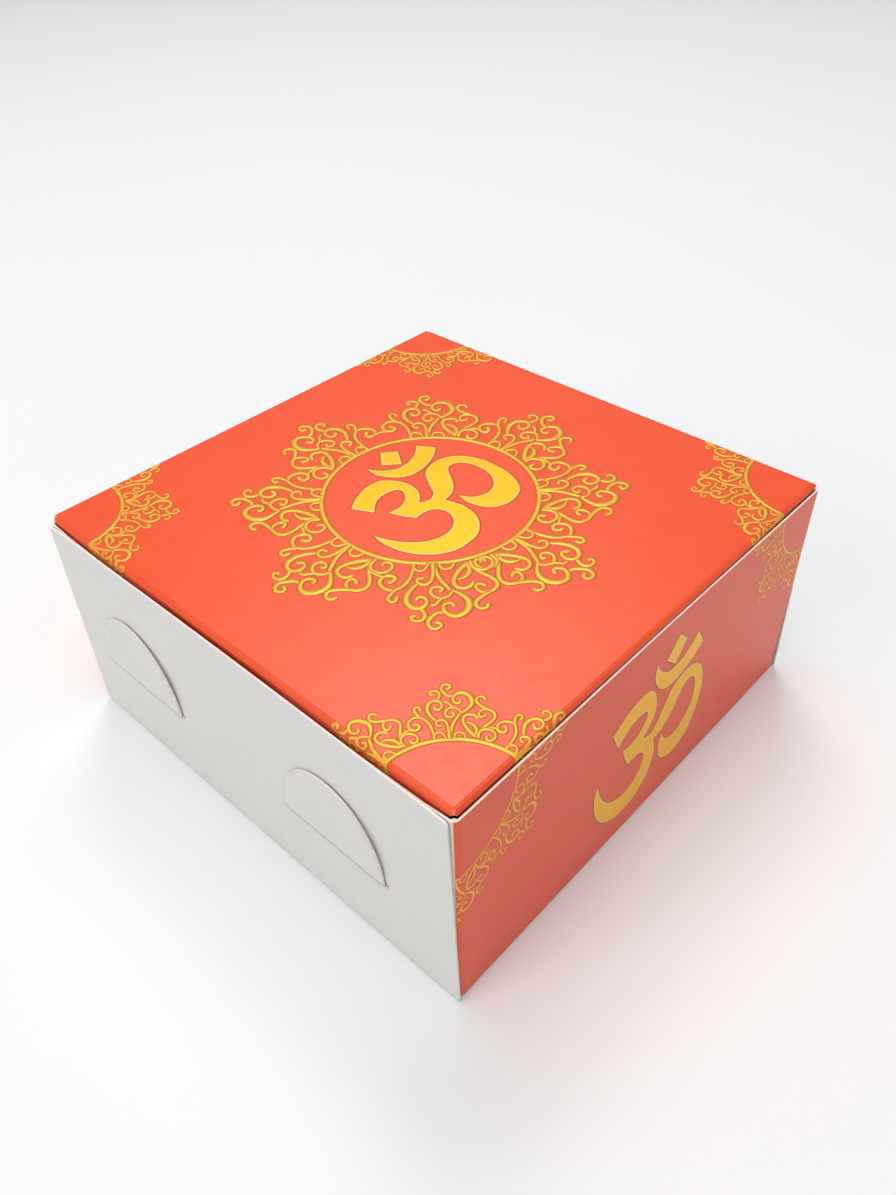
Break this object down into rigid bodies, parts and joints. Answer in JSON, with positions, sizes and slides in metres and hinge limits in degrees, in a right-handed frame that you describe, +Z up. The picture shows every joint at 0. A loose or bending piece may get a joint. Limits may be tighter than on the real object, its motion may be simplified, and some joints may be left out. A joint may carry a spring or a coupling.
{
  "type": "folding sweet box",
  "caption": "Square folding carton for sweets, with a hinged tuck-in lid and side walls held by half-moon lock tabs.",
  "frame": {"origin": "middle of the closed carton's underside, on the surface that it stands on", "axes": "+Z up; the printed front wall faces -Y; the lid's hinge runs along X at the back, +Y"},
  "size_m": [0.1536, 0.151, 0.071],
  "materials": {
    "printed_lid": "coated duplex board with a satin orange-red print",
    "printed_wall": "the same board and print, on the walls and folded flaps",
    "white_board": "unprinted coated white face of the board",
    "inner_board": "uncoated inner face of the board"
  },
  "bodies": {
    "carton": {"base_panel": "inner_board", "front_wall": "printed_wall", "back_wall": "printed_wall", "left_side_wall": "white_board", "right_side_wall": "white_board", "front_left_corner_flap": "inner_board", "front_right_corner_flap": "inner_board", "back_left_corner_flap": "inner_board", "back_right_corner_flap": "inner_board"},
    "lid": {"lid_panel": "printed_lid"},
    "tuck_flap": {"lid_tuck_flap": "printed_wall"},
    "left_flap": {"lid_left_flap": "printed_wall"},
    "right_flap": {"lid_right_flap": "printed_wall"},
    "front_left_tab": {"front_left_lock_tab": "white_board"},
    "front_right_tab": {"front_right_lock_tab": "white_board"},
    "back_left_tab": {"back_left_lock_tab": "white_board"},
    "back_right_tab": {"back_right_lock_tab": "white_board"}
  },
  "joints": [
    {"name": "lid_hinge", "type": "hinge", "parent": "carton", "child": "lid", "pos_m": [0, 0.075, 0.071], "axis": [-1, 0, 0], "range_deg": [0, 180]},
    {"name": "tuck_flap_fold", "type": "hinge", "parent": "lid", "child": "tuck_flap", "pos_m": [0, -0.0732, 0.07], "axis": [1, 0, 0], "range_deg": [0, 80]},
    {"name": "left_flap_fold", "type": "hinge", "parent": "lid", "child": "left_flap", "pos_m": [-0.07355, 0, 0.07], "axis": [0, -1, 0], "range_deg": [0, 80]},
    {"name": "right_flap_fold", "type": "hinge", "parent": "lid", "child": "right_flap", "pos_m": [0.07355, 0, 0.07], "axis": [0, 1, 0], "range_deg": [0, 80]},
    {"name": "front_left_tab_fold", "type": "hinge", "parent": "carton", "child": "front_left_tab", "pos_m": [-0.07575, -0.035, 0.027], "axis": [0, -1, 0], "range_deg": [0, 90]},
    {"name": "front_right_tab_fold", "type": "hinge", "parent": "carton", "child": "front_right_tab", "pos_m": [0.07575, -0.035, 0.027], "axis": [0, 1, 0], "range_deg": [0, 90]},
    {"name": "back_left_tab_fold", "type": "hinge", "parent": "carton", "child": "back_left_tab", "pos_m": [-0.07575, 0.0445, 0.027], "axis": [0, -1, 0], "range_deg": [0, 90]},
    {"name": "back_right_tab_fold", "type": "hinge", "parent": "carton", "child": "back_right_tab", "pos_m": [0.07575, 0.0445, 0.027], "axis": [0, 1, 0], "range_deg": [0, 90]}
  ]
}
